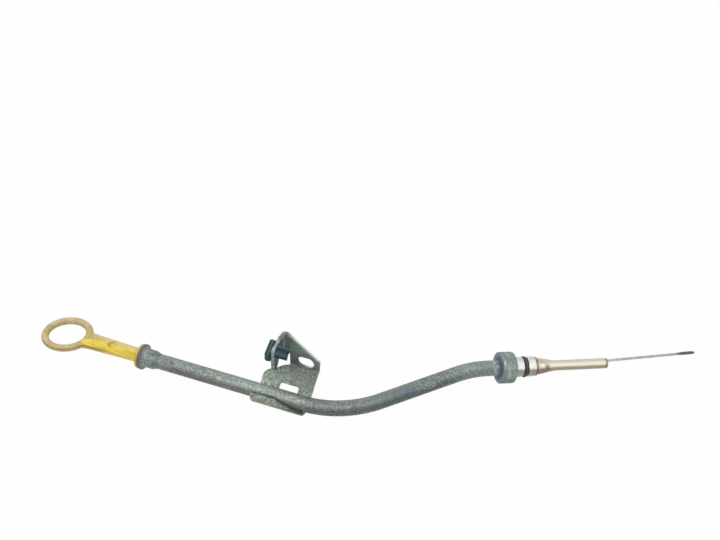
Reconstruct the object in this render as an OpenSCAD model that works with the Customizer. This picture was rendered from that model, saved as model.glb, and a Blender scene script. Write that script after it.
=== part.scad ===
// Engine oil dipstick in its guide tube, with the bracket and the clip that stay on it.
// Real size in millimetres, +Z up, lying as it comes to rest on a bench.
// The tube is given the way a tube bender reads it: straight length, roll, bend, and again.
// Its upper leg runs along +X, and the mouth that the handle stands in is at x = 0 of that leg.

/* [Handle] */
// Outside diameter of the finger ring
ring_d = 34.4; // [28:0.2:42]
// Width of the ring's band, seen from above
ring_band = 4.9; // [3.5:0.1:7]
// Thickness of the ring and the shank
handle_t = 4.2; // [3:0.1:6]
// Ring centre to the mouth of the tube
ring_reach = 57.8; // [50:0.2:80]
// Width of the shank
shank_w = 11.4; // [9:0.1:14]

/* [Guide tube] */
// Outside diameter of the tube
tube_d = 10; // [9:0.1:12]
// Wall of the tube
tube_wall = 1.2; // [0.8:0.1:1.6]
// Diameter of the flange at the mouth
flange_d = 17; // [15:0.2:20]
// Thickness of the flange
flange_t = 2.2; // [1.5:0.1:3]
// Outside diameter of the widened neck
neck_d = 12.3; // [12:0.1:14]
// Length of the widened neck
neck_l = 8.6; // [7:0.2:14]
// First straight, from the mouth to the first bend
straight_1 = 115.9; // [100:0.5:140]
// Roll of the first bend away from level
roll_1 = 11.4; // [5:0.1:30]
// Angle of the first bend
bend_a1 = 44.6; // [30:0.1:55]
// Centre-line radius of the first bend
bend_r1 = 65; // [45:1:90]
// Straight between the two bends
straight_2 = 50.5; // [35:0.5:70]
// Roll between the two bends
roll_2 = -114.6; // [-125:0.1:-90]
// Angle of the second bend
bend_a2 = 17.7; // [10:0.1:25]
// Centre-line radius of the second bend
bend_r2 = 70; // [50:1:90]
// Straight from the second bend to the stop collar
straight_3 = 7.5; // [4:0.2:20]

/* [Stop collar and lower tube] */
// Diameter of the stop collar
stop_d = 20.2; // [18:0.2:24]
// Thickness of the stop collar
stop_t = 9.7; // [6:0.2:12]
// Diameter of the spigot that goes into the block
spigot_d = 12.7; // [11.6:0.1:15]
// Length of the spigot
spigot_l = 14.7; // [12:0.2:20]
// Diameter over the ring seal before it is squeezed
seal_d = 13.6; // [13.3:0.1:15]
// Thickness of the ring seal's cord
seal_cord = 2.3; // [1.8:0.1:2.6]
// Outside diameter of the lower tube
lower_d = 6.7; // [6:0.1:8]
// Length of the taper between the spigot and the lower tube
taper_l = 16.7; // [12:0.2:24]
// Straight length of the lower tube
lower_l = 34.9; // [25:0.5:50]

/* [Blade] */
// Width of the sprung steel strip
blade_w = 2.6; // [2:0.1:3]
// Thickness of the strip
blade_t = 0.7; // [0.5:0.1:0.9]
// Width of the leaf at the tip, where the level is read
leaf_w = 3.4; // [3:0.1:4]
// Length of the leaf
leaf_l = 11; // [8:0.5:20]
// Free length of the blade beyond the lower tube
blade_free = 64.2; // [45:0.5:90]
// Angle that the free end springs up by
spring_a = 2.9; // [0:0.1:4]

/* [Bracket] */
// Sheet thickness
sheet = 2.6; // [2:0.1:3.2]
// Mouth of the tube to the near edge of the bracket
bracket_x = 82.4; // [60:0.5:95]
// Width of the bracket along the tube
bracket_w = 35; // [32:0.5:44]
// Slope of the lower plate
plate_slope = 47; // [40:1:55]
// Length of the lower plate, from the tube to the fold
plate_l = 22; // [19:0.5:30]
// Height of the upright plate above the tube's axis
upright_h = 35.6; // [34:0.2:45]
// Long side of the fixing slot
slot_l = 11.7; // [10:0.1:14]
// Short side of the fixing slot
slot_w = 7.6; // [6:0.1:9]
// Length of the window in the lower plate
window_l = 13.5; // [8:0.5:16]
// Width of the window in the lower plate
window_w = 7.3; // [4:0.1:8]
// Depth of the ear that holds the harness clip
ear_d = 12.8; // [11:0.1:14]

/* [Harness clip] */
// Diameter of the clip's neck in the ear
clip_neck = 5.4; // [5:0.1:7]
// Length of the ridged body
clip_l = 7.6; // [6:0.2:11]

/* [Hidden] */
$fn = 64;

axis_z = flange_d / 2;
tube_r = tube_d / 2;
tube_bore = tube_d - 2 * tube_wall;
neck_bore = neck_d - 2 * tube_wall;
neck_taper = 2 * (neck_d - tube_d);
slide_gap = 0.2;
seat_gap = 0.02;
braze_gap = 0.06;
lap = 0.02;
swell = 0.03;
dip = 0.3;
bite = 0.2;
proud = 0.05;

// Along the lower leg, from the end of the second bend
stop_x = straight_3;
spigot_x = stop_x + stop_t;
lower_x = spigot_x + spigot_l;
lower_end = lower_x + taper_l + lower_l;
tip_x = lower_end + blade_free;
tube_seat = stop_t - 2;
spigot_bore = 6.2;
seal_x = spigot_x + 7.7;
groove_w = seal_cord + 0.9;
groove_d = seal_d - 2 * seal_cord;
sleeve_l = 5;
sleeve_d = 8;
lower_bore = lower_d - 1.4;
spring_r = 200;
spring_back = 38.6;
spring_x = lower_end - spring_back;
free_l = tip_x - spring_x - spring_r * sin(spring_a);

// Ends of the legs and their directions, for the overall centre
dir_2 = [cos(bend_a1), sin(bend_a1) * cos(roll_1), sin(bend_a1) * sin(roll_1)];
side_2 = [-sin(bend_a1), cos(bend_a1) * cos(roll_1), cos(bend_a1) * sin(roll_1)];
up_2 = [0, -sin(roll_1), cos(roll_1)];
turn_3 = side_2 * cos(roll_2) + up_2 * sin(roll_2);
dir_3 = dir_2 * cos(bend_a2) + turn_3 * sin(bend_a2);
start_2 = [straight_1 + bend_r1 * sin(bend_a1),
    bend_r1 * (1 - cos(bend_a1)) * cos(roll_1),
    bend_r1 * (1 - cos(bend_a1)) * sin(roll_1)];
start_3 = start_2 + dir_2 * (straight_2 + bend_r2 * sin(bend_a2))
    + turn_3 * bend_r2 * (1 - cos(bend_a2));
side_3 = turn_3 * cos(bend_a2) - dir_2 * sin(bend_a2);
tip = start_3 + dir_3 * (spring_x + spring_r * sin(spring_a) + free_l * cos(spring_a))
    - side_3 * (spring_r * (1 - cos(spring_a)) + free_l * sin(spring_a));
// The leaf's rounded nose reaches a little past its centre line
mid_x = (tip[0] + leaf_w * 0.02 - ring_reach - ring_d / 2) / 2;
mid_y = (tip[1] + leaf_w * 0.06 - ring_d / 2) / 2;

// Plug and its ring seal
plug_d = neck_bore - 2 * slide_gap;
plug_l = neck_l + 0.2;
cap_t = 1.8;
cap_d = flange_d - 0.4;
flare_l = 2.8;
plug_groove_x = 4.4;
plug_cord = 1.8;
plug_groove_w = 2.4;
plug_groove_d = neck_bore - 2 * plug_cord;
root_x = 3;
edge_r = 1.5;
mark_x = 34.6 - ring_reach;
mark_d = 6;
mark_bore = mark_d - 1.4;

// Bracket
saddle_r = tube_r + braze_gap;
fold_r = 1.2;
upright_y = plate_l * cos(plate_slope) + saddle_r * sin(plate_slope);
corner_z = plate_l * sin(plate_slope) - saddle_r * cos(plate_slope);
fold_a = 90 - plate_slope;
fold_s = fold_r * tan(fold_a / 2);
ear_x = bracket_x + 11.4;
ear_r = 2;
ear_foot = corner_z + 11.8;
ear_top = upright_h - 3.4;
free_x = bracket_x + 15.8;
far_x = bracket_x + bracket_w;
step = 0.7;
slot_x = bracket_x + 26.7;
slot_z = corner_z + 3.95;
window_x = bracket_x + 19.4;
window_s = 5.2;
ear_y0 = upright_y - ear_d;
ear_nose = 2.2;
ear_low = 14.1;

// Harness clip
clip_y = ear_y0 + 4.6;
clip_z = ear_top - 5;
clip_tilt = 31;
head_t = 3.2;
hole_gap = 0.1;

module leg_2()
    translate([straight_1, 0, 0]) rotate([roll_1, 0, 0]) translate([0, bend_r1, 0])
        rotate([0, 0, bend_a1]) translate([0, -bend_r1, 0]) children();

module leg_3()
    leg_2() translate([straight_2, 0, 0]) rotate([roll_2, 0, 0]) translate([0, bend_r2, 0])
        rotate([0, 0, bend_a2]) translate([0, -bend_r2, 0]) children();

// A profile of [radius, distance along x] spun about the x axis
module spun() rotate([0, 90, 0]) rotate_extrude() children();

module rod(d, from, to) translate([from, 0, 0]) rotate([0, 90, 0]) cylinder(d = d, h = to - from);

module arc(r, a) translate([0, r, 0]) rotate([0, 0, -90]) rotate_extrude(angle = a)
    translate([r, 0]) children();

// Solid run of one diameter along the whole bent line. The bends are a hair wider, and the
// straights end inside them.
module run(d, past = 0) {
    rod(d, -past, straight_1 + dip);
    translate([straight_1, 0, 0]) rotate([roll_1, 0, 0]) arc(bend_r1, bend_a1) circle(d = d + swell);
    leg_2() {
        rod(d, -dip, straight_2 + dip);
        translate([straight_2, 0, 0]) rotate([roll_2, 0, 0]) arc(bend_r2, bend_a2)
            circle(d = d + swell);
    }
    leg_3() rod(d, -dip, stop_x + tube_seat + past);
}

module rounded(w, h, r) {
    square([w, h - 2 * r], center = true);
    square([w - 2 * r, h], center = true);
    for (i = [-1, 1], j = [-1, 1])
        translate([i * (w / 2 - r), j * (h / 2 - r)]) circle(r);
}

// One moulding: finger ring, flat shank, flared cap over the mouth and the plug below it.
// The blade is moulded into the plug, so its pocket has the strip's own size.
module handle() color("gold") difference() {
    union() {
        translate([-ring_reach, 0, 0]) rotate_extrude()
            translate([(ring_d - ring_band) / 2, 0]) rounded(ring_band, handle_t, 1.9);
        shank();
        spun() polygon([[0, -cap_t - flare_l], [shank_w / 2 - 1.2, -cap_t - flare_l], [cap_d / 2 - 0.4, -cap_t],
            [cap_d / 2, -cap_t + 0.4], [cap_d / 2, -0.4], [cap_d / 2 - 0.4, 0], [0, 0]]);
        difference() {
            rod(plug_d, 0, plug_l - 1);
            translate([plug_groove_x - plug_groove_w / 2, 0, 0]) spun()
                translate([plug_groove_d / 2, 0]) square([plug_d, plug_groove_w]);
        }
        spun() polygon([[0, plug_l - 1], [plug_d / 2, plug_l - 1], [plug_d / 2 - 1, plug_l], [0, plug_l]]);
    }
    rotate([roll_1, 0, 0]) translate([root_x, -blade_t / 2, -blade_w / 2])
        cube([plug_l, blade_t, blade_w]);
}

module shank() {
    far = ring_reach - ring_d / 2 + ring_band / 2;
    near = cap_t + 1;
    translate([-far, 0, 0]) rotate([90, 0, 90]) linear_extrude(height = far - near)
        rounded(shank_w, handle_t - 0.2, edge_r);
    // Webs where the shank runs into the ring
    linear_extrude(height = handle_t - 1.2, center = true)
        polygon([[-far - 5, -shank_w / 2 - 3.4], [-far + 3.5, -shank_w / 2 - 0.9], [-near - 1, -shank_w / 2 + 0.4],
            [-near - 1, shank_w / 2 - 0.4], [-far + 3.5, shank_w / 2 + 0.9], [-far - 5, shank_w / 2 + 3.4],
            [-far - 1, 0]]);
    // Plain round moulding mark on the upper face
    translate([mark_x, 0, handle_t / 2 - 0.2]) difference() {
        cylinder(d = mark_d, h = 0.35);
        translate([0, 0, 0.1]) cylinder(d = mark_bore, h = 0.4);
    }
}

// Small ring seal on the plug
module mouth_seal() color("dimgray")
    translate([plug_groove_x, 0, 0]) spun()
        translate([(neck_bore - plug_cord) / 2, 0]) circle(d = plug_cord);

// Sprung steel strip. It bends across its thin way, so it is twisted between the two bends.
module dipstick_blade() color("lightsteelblue") {
    flat = 3;
    rotate([roll_1, 0, 0]) strip(root_x, straight_1 + dip);
    translate([straight_1, 0, 0]) rotate([roll_1, 0, 0]) arc(bend_r1, bend_a1)
        square([blade_t + swell, blade_w + swell], center = true);
    leg_2() {
        strip(-dip, flat);
        strip_twist(flat, straight_2 - flat, roll_2 + 180);
        rotate([roll_2, 0, 0]) strip(straight_2 - flat, straight_2 + dip);
        translate([straight_2, 0, 0]) rotate([roll_2, 0, 0]) arc(bend_r2, bend_a2)
            square([blade_t + swell, blade_w + swell], center = true);
    }
    leg_3() {
        mirror([0, 1, 0]) {
            strip(-dip, spring_x + dip);
            translate([spring_x, 0, 0]) arc(spring_r, spring_a)
                square([blade_t + swell, blade_w + swell], center = true);
            translate([spring_x, spring_r, 0]) rotate([0, 0, spring_a]) translate([0, -spring_r, 0]) {
                strip(-dip, free_l - leaf_l);
                leaf(free_l - leaf_l, free_l);
            }
        }
    }
}

module strip(from, to) translate([from, -blade_t / 2, -blade_w / 2]) cube([to - from, blade_t, blade_w]);

// Strip that turns by t on its way, with its ends just inside the flat lengths next to it
module strip_twist(from, to, t)
    translate([from - lap, 0, 0]) rotate([0, 90, 0])
        linear_extrude(height = to - from + 2 * lap, twist = -t, slices = 12, $fn = 4)
            square([blade_w - swell, blade_t - swell], center = true);

// Widened end with two punched holes, one for each oil level
module leaf(from, to) {
    nose = 3.2;
    r = nose_r(nose);
    rotate([90, 0, 0]) linear_extrude(height = blade_t + lap, center = true) difference() {
        union() {
            polygon([[from - 0.5, -blade_w / 2], [from, -blade_w / 2], [from + 2.5, -leaf_w / 2],
                [to - nose, -leaf_w / 2], [to - nose, leaf_w / 2], [from + 2.5, leaf_w / 2],
                [from, blade_w / 2], [from - 0.5, blade_w / 2]]);
            intersection() {
                translate([to - nose - lap, -leaf_w / 2]) square([nose + lap, leaf_w]);
                translate([to - nose, r - leaf_w / 2]) circle(r);
                translate([to - nose, leaf_w / 2 - r]) circle(r);
            }
        }
        translate([from + 2.6, 0]) circle(d = 1.2);
        translate([to - 3, 0]) circle(d = 1.2);
    }
}

function nose_r(n) = (n * n + leaf_w * leaf_w / 4) / leaf_w;

// Steel tube with a rolled flange and a widened neck, bent twice
module guide_tube() color("slategray") difference() {
    union() {
        run(tube_d);
        spun() union() {
            square([flange_d / 2 - flange_t / 2, flange_t]);
            translate([flange_d / 2 - flange_t / 2, flange_t / 2]) circle(d = flange_t);
            polygon([[0, 0], [neck_d / 2, 0], [neck_d / 2, neck_l], [tube_r, neck_l + neck_taper],
                [0, neck_l + neck_taper]]);
        }
    }
    run(tube_bore, 1);
    spun() polygon([[0, -1], [neck_bore / 2, -1], [neck_bore / 2, neck_l],
        [tube_bore / 2, neck_l + neck_taper], [0, neck_l + neck_taper]]);
}

// One sheet of steel: a hook round the tube, a sloping plate, an upright plate and an ear
module bracket() color("darkseagreen") difference() {
    union() {
        rotate([plate_slope, 0, 0]) {
            hook();
            sloping_plate();
            fold();
        }
        upright_plate();
        ear_fold();
        ear();
    }
    // Fixing slot, low enough to run into the fold
    translate([slot_x, upright_y + sheet + 1, slot_z]) rotate([90, 0, 0])
        linear_extrude(height = sheet + 5) slot_shape(slot_l, slot_w);
    // The hook's end is cut on the slant
    translate([0, -tube_r - sheet - 1, 0]) mirror([0, 1, 0]) rotate([90, 0, 0])
        linear_extrude(height = tube_r + sheet + 1)
            polygon([[bracket_x + 15.5, tube_r + sheet + 1], [bracket_x + 15.5, 1.8], [bracket_x + 21.5, -0.2],
                [far_x + 1, -3.6], [far_x + 1, tube_r + sheet + 1]]);
}

module slot_shape(l, w) {
    square([l - w, w], center = true);
    for (i = [-1, 1]) translate([i * (l - w) / 2, 0]) circle(d = w);
}

module hook()
    translate([bracket_x - proud, 0, 0]) rotate([0, 90, 0]) rotate([0, 0, -157])
        rotate_extrude(angle = 157) translate([saddle_r - swell / 2, 0])
            square([sheet + swell, bracket_w + 2 * proud]);

module sloping_plate() {
    corner_r = 6;
    top = plate_l - fold_s;
    translate([0, 0, -saddle_r - sheet]) linear_extrude(height = sheet) difference() {
        union() {
            polygon([[bracket_x, -bite], [far_x, -bite], [far_x + 0.5, top - 1.4], [far_x + step, top - 0.7],
                [far_x + step, top + bite], [free_x, top + bite],
                [free_x - 0.6, plate_l - 0.8], [bracket_x + 12.7, plate_l - 1.6],
                [bracket_x + 9.7, plate_l - 3.3], [bracket_x + 8.2, plate_l - 4.6],
                [bracket_x + corner_r, plate_l - 6.1], [bracket_x, plate_l - 6.1 - corner_r]]);
            translate([bracket_x + corner_r, plate_l - 6.1 - corner_r]) circle(corner_r);
        }
        translate([window_x, window_s]) rounded(window_l, window_w, 1.3);
    }
}

// Fold between the two plates
module fold()
    translate([free_x - proud, plate_l - fold_s, fold_r - saddle_r]) rotate([0, 90, 0])
        rotate_extrude(angle = fold_a) translate([fold_r - swell / 2, 0])
            square([sheet + swell, far_x + step - free_x + 2 * proud]);

module upright_plate()
    translate([0, upright_y + sheet, 0]) rotate([90, 0, 0]) linear_extrude(height = sheet)
        polygon([[free_x, corner_z + fold_s - bite], [far_x + step, corner_z + fold_s - bite],
            [far_x + 1.1, corner_z + 4], [far_x + 1.1, corner_z + 6.2], [far_x + 0.6, corner_z + 7],
            [ear_x + 3.8, upright_h - 0.6], [ear_x + 3, upright_h - 0.1], [ear_x + ear_r, upright_h],
            [ear_x + ear_r - bite, upright_h], [ear_x + ear_r - bite, ear_foot + 0.4],
            [ear_x + ear_r + 0.4, ear_foot], [free_x - 1, ear_foot], [free_x, ear_foot - 1]]);

// Fold of the ear. Its top runs down from the upright plate to the ear.
module ear_fold() difference() {
    translate([ear_x + ear_r, upright_y - ear_r, ear_foot]) rotate([0, 0, 90])
        rotate_extrude(angle = 90) translate([ear_r - swell / 2, 0])
            square([sheet + swell, upright_h + swell - ear_foot]);
    translate([ear_x - sheet - 1, 0, 0]) rotate([90, 0, 90]) linear_extrude(height = ear_r + sheet + 2)
        polygon([[upright_y - ear_r, ear_top + swell], [upright_y, upright_h + 0.2], [upright_y, upright_h + 5],
            [upright_y - ear_r, upright_h + 5]]);
    translate([0, upright_y + sheet + 1, 0]) rotate([90, 0, 0]) linear_extrude(height = ear_r + sheet + 2)
        polygon([[ear_x - sheet - 1, ear_top + 0.2], [ear_x - 1.9, ear_top + 1.2],
            [ear_x - 0.6, upright_h + 0.1], [ear_x - 0.6, upright_h + 5], [ear_x - sheet - 1, upright_h + 5]]);
}

module ear() {
    back = upright_y - ear_r + bite;
    translate([ear_x - sheet, 0, 0]) rotate([90, 0, 90]) linear_extrude(height = sheet) difference() {
        union() {
            polygon([[back, ear_foot + 0.4], [back, ear_top], [ear_y0 + 8, ear_top - 0.3],
                [ear_y0 + 5, ear_top - 0.8], [ear_y0 + 2.6, ear_top - 1.5], [ear_y0 + 1, ear_top - 2.8],
                [ear_y0 + 0.2, ear_top - 5], [ear_y0, ear_top - 7.4], [ear_y0, ear_low + ear_nose],
                [ear_y0 + ear_nose, ear_low + ear_nose], [ear_y0 + ear_nose * 1.88, ear_low + ear_nose * 0.53]]);
            translate([ear_y0 + ear_nose, ear_low + ear_nose]) circle(ear_nose);
        }
        translate([clip_y, clip_z]) circle(d = clip_neck + 2 * hole_gap);
    }
}

// Plastic clip pushed through the ear: a slanted head on one side, and on the other a body with a
// groove between two ridges, turned by the same slant
module harness_clip() color("darkslateblue") translate([ear_x, clip_y, clip_z]) {
    translate([-sheet, 0, 0]) rod(clip_neck, -0.5, sheet + 0.5);
    translate([-sheet - head_t + 0.8 - seat_gap, 0, 0]) head(head_t - 0.8, 0);
    translate([-sheet - head_t - seat_gap, 0, 0]) head(0.9, 0.5);
    rotate([clip_tilt, 0, 0]) {
        translate([0, -2, -2.2]) cube([clip_l - 0.5, 3.7, 4.2]);
        translate([0, 1.6, -2.5]) cube([clip_l - 0.2, 1.3, 5.5]);
        translate([0, -4, -1.9]) cube([clip_l, 2.2, 4.9]);
    }
}

// Slanted plate with a flat foot, set in by the given margin
module head(t, margin) rotate([90, 0, 90]) linear_extrude(height = t) {
    m = margin;
    polygon([[-7.1 + m, 0.9 - m / 2], [2.1, 6.5 - m], [6.4 - m, 2], [5.6 - m, -4], [1 - m / 2, -6.2 + m],
        [-3.4 + m / 2, -6.2 + m], [-6.3 + m, -4]]);
    polygon([[-6.5 + m, 0], [-7.4 + m, -3.8 + m], [-3.4 + m, -6.2 + m], [0, -4], [0, 0]]);
}

// Turned collar that stops against the block, with the spigot and its seal groove
module stop_collar() color("gray") leg_3() difference() {
    union() {
        spun() translate([0, stop_x]) union() {
            square([stop_d / 2 - 0.8, stop_t]);
            translate([0, 0.8]) square([stop_d / 2, stop_t - 1.6]);
            translate([stop_d / 2 - 0.8, 0.8]) circle(0.8);
            translate([stop_d / 2 - 0.8, stop_t - 0.8]) circle(0.8);
        }
        difference() {
            rod(spigot_d, spigot_x, lower_x);
            translate([seal_x - groove_w / 2, 0, 0]) spun()
                translate([groove_d / 2, 0]) square([spigot_d, groove_w]);
        }
    }
    rod(tube_d + 2 * seat_gap, stop_x - 1, stop_x + tube_seat);
    rod(spigot_bore, stop_x, lower_x + 1);
    rod(sleeve_d + 2 * seat_gap, lower_x - sleeve_l, lower_x + 1);
}

module block_seal() color("black") leg_3()
    translate([seal_x, 0, 0]) spun() translate([(seal_d - seal_cord) / 2, 0]) circle(d = seal_cord);

// Lower tube: a sleeve brazed into the spigot, a rolled bead, a drawn taper and a straight end
module lower_tube() color("tan") leg_3() translate([lower_x, 0, 0]) difference() {
    spun() union() {
        translate([0, -sleeve_l]) square([sleeve_d / 2, sleeve_l + 0.1]);
        polygon([[0, 0], [spigot_d / 2 - 1.1, 0], [spigot_d / 2 - 1.1, 1.6], [spigot_d / 2 - 1, 2.4],
            [lower_d / 2 + 1.5, taper_l * 0.54], [lower_d / 2 + 0.6, taper_l * 0.8], [lower_d / 2, taper_l],
            [lower_d / 2, taper_l + lower_l - 0.6], [lower_d / 2 - 0.6, taper_l + lower_l], [0, taper_l + lower_l]]);
        translate([spigot_d / 2 - 1.1, 0.8]) circle(0.8);
        translate([lower_d / 2 - 0.6, taper_l + lower_l - 0.6]) circle(0.6);
    }
    spun() polygon([[0, -sleeve_l - 1], [spigot_bore / 2, -sleeve_l - 1], [spigot_bore / 2, taper_l * 0.54],
        [lower_bore / 2, taper_l], [lower_bore / 2, taper_l + lower_l + 1], [0, taper_l + lower_l + 1]]);
}

translate([-mid_x, -mid_y, axis_z]) {
    handle();
    mouth_seal();
    dipstick_blade();
    guide_tube();
    bracket();
    harness_clip();
    stop_collar();
    block_seal();
    lower_tube();
}
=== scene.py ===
"""Looks of an engine oil dipstick standing in its guide tube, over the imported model's frame."""
import math

import bmesh
import bpy
from mathutils import Matrix, Vector


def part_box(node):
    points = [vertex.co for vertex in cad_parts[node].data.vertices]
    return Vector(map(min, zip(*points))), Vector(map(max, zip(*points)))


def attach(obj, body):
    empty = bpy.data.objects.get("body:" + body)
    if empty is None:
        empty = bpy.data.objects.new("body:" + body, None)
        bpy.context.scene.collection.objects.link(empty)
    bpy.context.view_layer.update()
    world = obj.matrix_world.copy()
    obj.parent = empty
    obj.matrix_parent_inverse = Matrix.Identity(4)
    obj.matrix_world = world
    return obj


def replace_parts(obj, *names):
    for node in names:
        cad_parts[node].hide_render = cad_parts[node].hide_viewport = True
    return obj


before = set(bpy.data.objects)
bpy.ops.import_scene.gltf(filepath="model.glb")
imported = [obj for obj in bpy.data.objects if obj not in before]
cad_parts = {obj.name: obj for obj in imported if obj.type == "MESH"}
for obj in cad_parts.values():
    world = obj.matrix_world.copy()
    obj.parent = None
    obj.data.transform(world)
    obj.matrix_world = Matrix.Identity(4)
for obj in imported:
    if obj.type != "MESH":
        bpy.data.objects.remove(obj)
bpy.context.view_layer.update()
scene = bpy.context.scene
scene.view_settings.view_transform = "Standard"
mm = 0.001


# Handle: one moulding in yellow nylon, with a finger ring, a flat shank and a flared cap that closes
# the mouth of the tube. Oily fingers have stained the ring ochre, and dirt lies along its edges.
ring_radius = 17.2 * mm
ring_reach = 57.8 * mm
mark_reach = 23.2 * mm
ring_middle = 14.75
handle_low, handle_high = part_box("handle")
mouth = Vector((handle_low.x + ring_radius + ring_reach, handle_low.y + ring_radius,
                (handle_low.z + handle_high.z) / 2))


class Value:
    """A socket's value in a material. An expression written with it adds the Math nodes that it needs."""

    def __init__(self, finish, socket):
        self.finish = finish
        self.socket = socket

    def math(self, operation, first, second):
        return self.finish.node("Math", {0: first, 1: second}, operation=operation)

    def __add__(self, other):
        return self.math("ADD", self, other)

    def __radd__(self, other):
        return self.math("ADD", other, self)

    def __sub__(self, other):
        return self.math("SUBTRACT", self, other)

    def __rsub__(self, other):
        return self.math("SUBTRACT", other, self)

    def __mul__(self, other):
        return self.math("MULTIPLY", self, other)

    def __rmul__(self, other):
        return self.math("MULTIPLY", other, self)

    def __truediv__(self, other):
        return self.math("DIVIDE", self, other)

    def __abs__(self):
        return self.math("ABSOLUTE", self, 0)


def tint(code):
    """A colour picked as it is seen on a screen, such as D9A520, as Blender's linear colour."""
    seen = [int(code[i:i + 2], 16) / 255 for i in (0, 2, 4)]
    return [c / 12.92 if c < 0.04045 else ((c + 0.055) / 1.055) ** 2.4 for c in seen] + [1]


class Finish:
    """A material in the making. Its lengths are in millimetres."""

    def __init__(self, name, metallic, specular=0.5):
        self.material = bpy.data.materials.new(name)
        self.material.use_nodes = True
        self.tree = self.material.node_tree
        self.shader = self.tree.nodes["Principled BSDF"]
        self.shader.inputs["Metallic"].default_value = metallic
        self.shader.inputs["Specular IOR Level"].default_value = specular

    def node(self, kind, values=None, out=0, **settings):
        """A new shader node of a kind, as the value of its output out."""
        made = self.tree.nodes.new("ShaderNode" + kind)
        for key, setting in settings.items():
            setattr(made, key, setting)
        for key, value in (values or {}).items():
            self.put(made.inputs[key], value)
        return Value(self, made.outputs[out])

    def put(self, socket, value):
        """Set a socket, or link it where the value comes from a node."""
        if isinstance(value, Value):
            self.tree.links.new(value.socket, socket)
        else:
            socket.default_value = value

    def set(self, name, value):
        self.put(self.shader.inputs[name], value)

    def place(self, origin):
        """Where a point is from origin, in the row frame."""
        here = self.node("TexCoord", out="Object")
        return self.millimetres(self.node("VectorMath", {0: here, 1: origin}, operation="SUBTRACT"))

    def own(self, attribute):
        """Where a point is in the piece's own straight form, which is kept as an attribute."""
        return self.millimetres(self.node("Attribute", out="Vector", attribute_name=attribute))

    def millimetres(self, vector):
        return self.node("VectorMath", {0: vector, "Scale": 1 / mm}, operation="SCALE")

    def stretched(self, vector, by):
        return self.node("VectorMath", {0: vector, 1: by}, operation="MULTIPLY")

    def split(self, vector):
        parts = self.node("SeparateXYZ", {0: vector}).socket.node
        return [Value(self, parts.outputs[i]) for i in range(3)]

    def noise(self, vector, size, detail=3, rough=0.55, seed=0.0):
        values = {"Vector": vector, "Scale": 1 / size, "Detail": detail, "Roughness": rough, "W": seed}
        return self.node("TexNoise", values, noise_dimensions="4D")

    def step(self, value, low, high):
        """0 below low and 1 above high, with a soft change between them. Low may be the higher one."""
        return self.node("MapRange", {"Value": value, "From Min": low, "From Max": high},
                         interpolation_type="SMOOTHSTEP")

    def near(self, value, middle, half):
        """1 at middle, and 0 from half away on either side."""
        return self.step(abs(value - middle), half, 0.0)

    def mix(self, first, second, factor):
        return self.node("Mix", {0: factor, 6: first, 7: second}, out=2, data_type="RGBA")

    def relief(self, height, depth):
        return self.node("Bump", {"Height": height, "Distance": depth * mm, "Strength": 1.0})

    def length(self, first, second):
        """How far a point is from zero in two directions."""
        return self.node("Math", {0: first * first + second * second}, operation="SQRT")

    def at_least_zero(self, value):
        return self.node("Math", {0: value, 1: 0.0}, operation="MAXIMUM")


def softened(node, name, voxel):
    """A piece in the CAD node's shape, with the edges rounded as a mould or a press leaves them."""
    shape = bmesh.new()
    shape.from_mesh(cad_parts[node].data)
    bmesh.ops.remove_doubles(shape, verts=shape.verts, dist=0.002 * mm)
    mesh = bpy.data.meshes.new(name)
    shape.to_mesh(mesh)
    shape.free()
    piece = bpy.data.objects.new(name, mesh)
    scene.collection.objects.link(piece)
    skin = piece.modifiers.new("skin", "REMESH")
    skin.mode = "VOXEL"
    skin.voxel_size = voxel
    skin.use_smooth_shade = True
    edges = piece.modifiers.new("soft edges", "SMOOTH")
    edges.factor = 0.5
    edges.iterations = 2
    graph = bpy.context.evaluated_depsgraph_get()
    finished = bpy.data.meshes.new_from_object(piece.evaluated_get(graph))
    piece.modifiers.clear()
    piece.data = finished
    return piece


handle = softened("handle", "yellow_handle", 0.3 * mm)

nylon = Finish("stained_yellow_nylon", metallic=0.0)
spot = nylon.place(mouth)
x, y, z = nylon.split(spot)
blotch = nylon.noise(spot, 6.0, detail=4, seed=1.0)
grain = nylon.noise(spot, 1.0, detail=4, rough=0.7, seed=2.0)
fleck = nylon.noise(spot, 0.8, detail=2, seed=4.0)
streak = nylon.noise(nylon.stretched(spot, (0.12, 1.0, 1.0)), 1.3, detail=4, rough=0.6, seed=3.0)
top = nylon.step(z, 1.0, 1.7)
shank = nylon.step(x, -3.5, -5.0)
colour = nylon.mix(tint("F9E24A"), tint("E2BC3C"), nylon.step(streak, 0.42, 0.6))
faded = nylon.step(y + 2 * (streak - 0.5), -1.2, 1.8) * nylon.step(x, -2.0, -8.0)
colour = nylon.mix(colour, tint("E8D27E"), 0.75 * faded)
colour = nylon.mix(colour, tint("C9A24E"), 0.35 * nylon.step(blotch, 0.54, 0.7))
rubbed = nylon.near(x, -37.0, 11.0) * nylon.near(y, 2.2, 3.6) * top
colour = nylon.mix(colour, tint("A88A4E"), 0.85 * rubbed * nylon.step(fleck, 0.44, 0.58))
web = nylon.near(x, -41.0, 6.0) * nylon.near(y, -3.2, 4.2)
colour = nylon.mix(colour, tint("FFEC4C"), web)
rail = nylon.step(y, 4.3, 5.1) * shank
colour = nylon.mix(colour, tint("DED09A"), 0.8 * rail)
colour = nylon.mix(colour, tint("8E7442"), 0.7 * rail * nylon.step(fleck, 0.56, 0.66))
# The shank's front side face is painted darker: painted shade, with some brown stain on it.
side = nylon.step(y, -4.6, -5.4) * nylon.step(z, 1.6, 0.9) * shank
along_shank = x + 5 * (blotch - 0.5)
side_shade_and_stain = nylon.mix(tint("D8C070"), tint("B09C70"), nylon.step(along_shank, -22.0, -32.0))
colour = nylon.mix(colour, side_shade_and_stain, 0.85 * side)
seam = nylon.near(z, 0.9, 0.8) * nylon.step(y, -4.6, -5.4) * nylon.step(along_shank, -19.0, -30.0)
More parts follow.
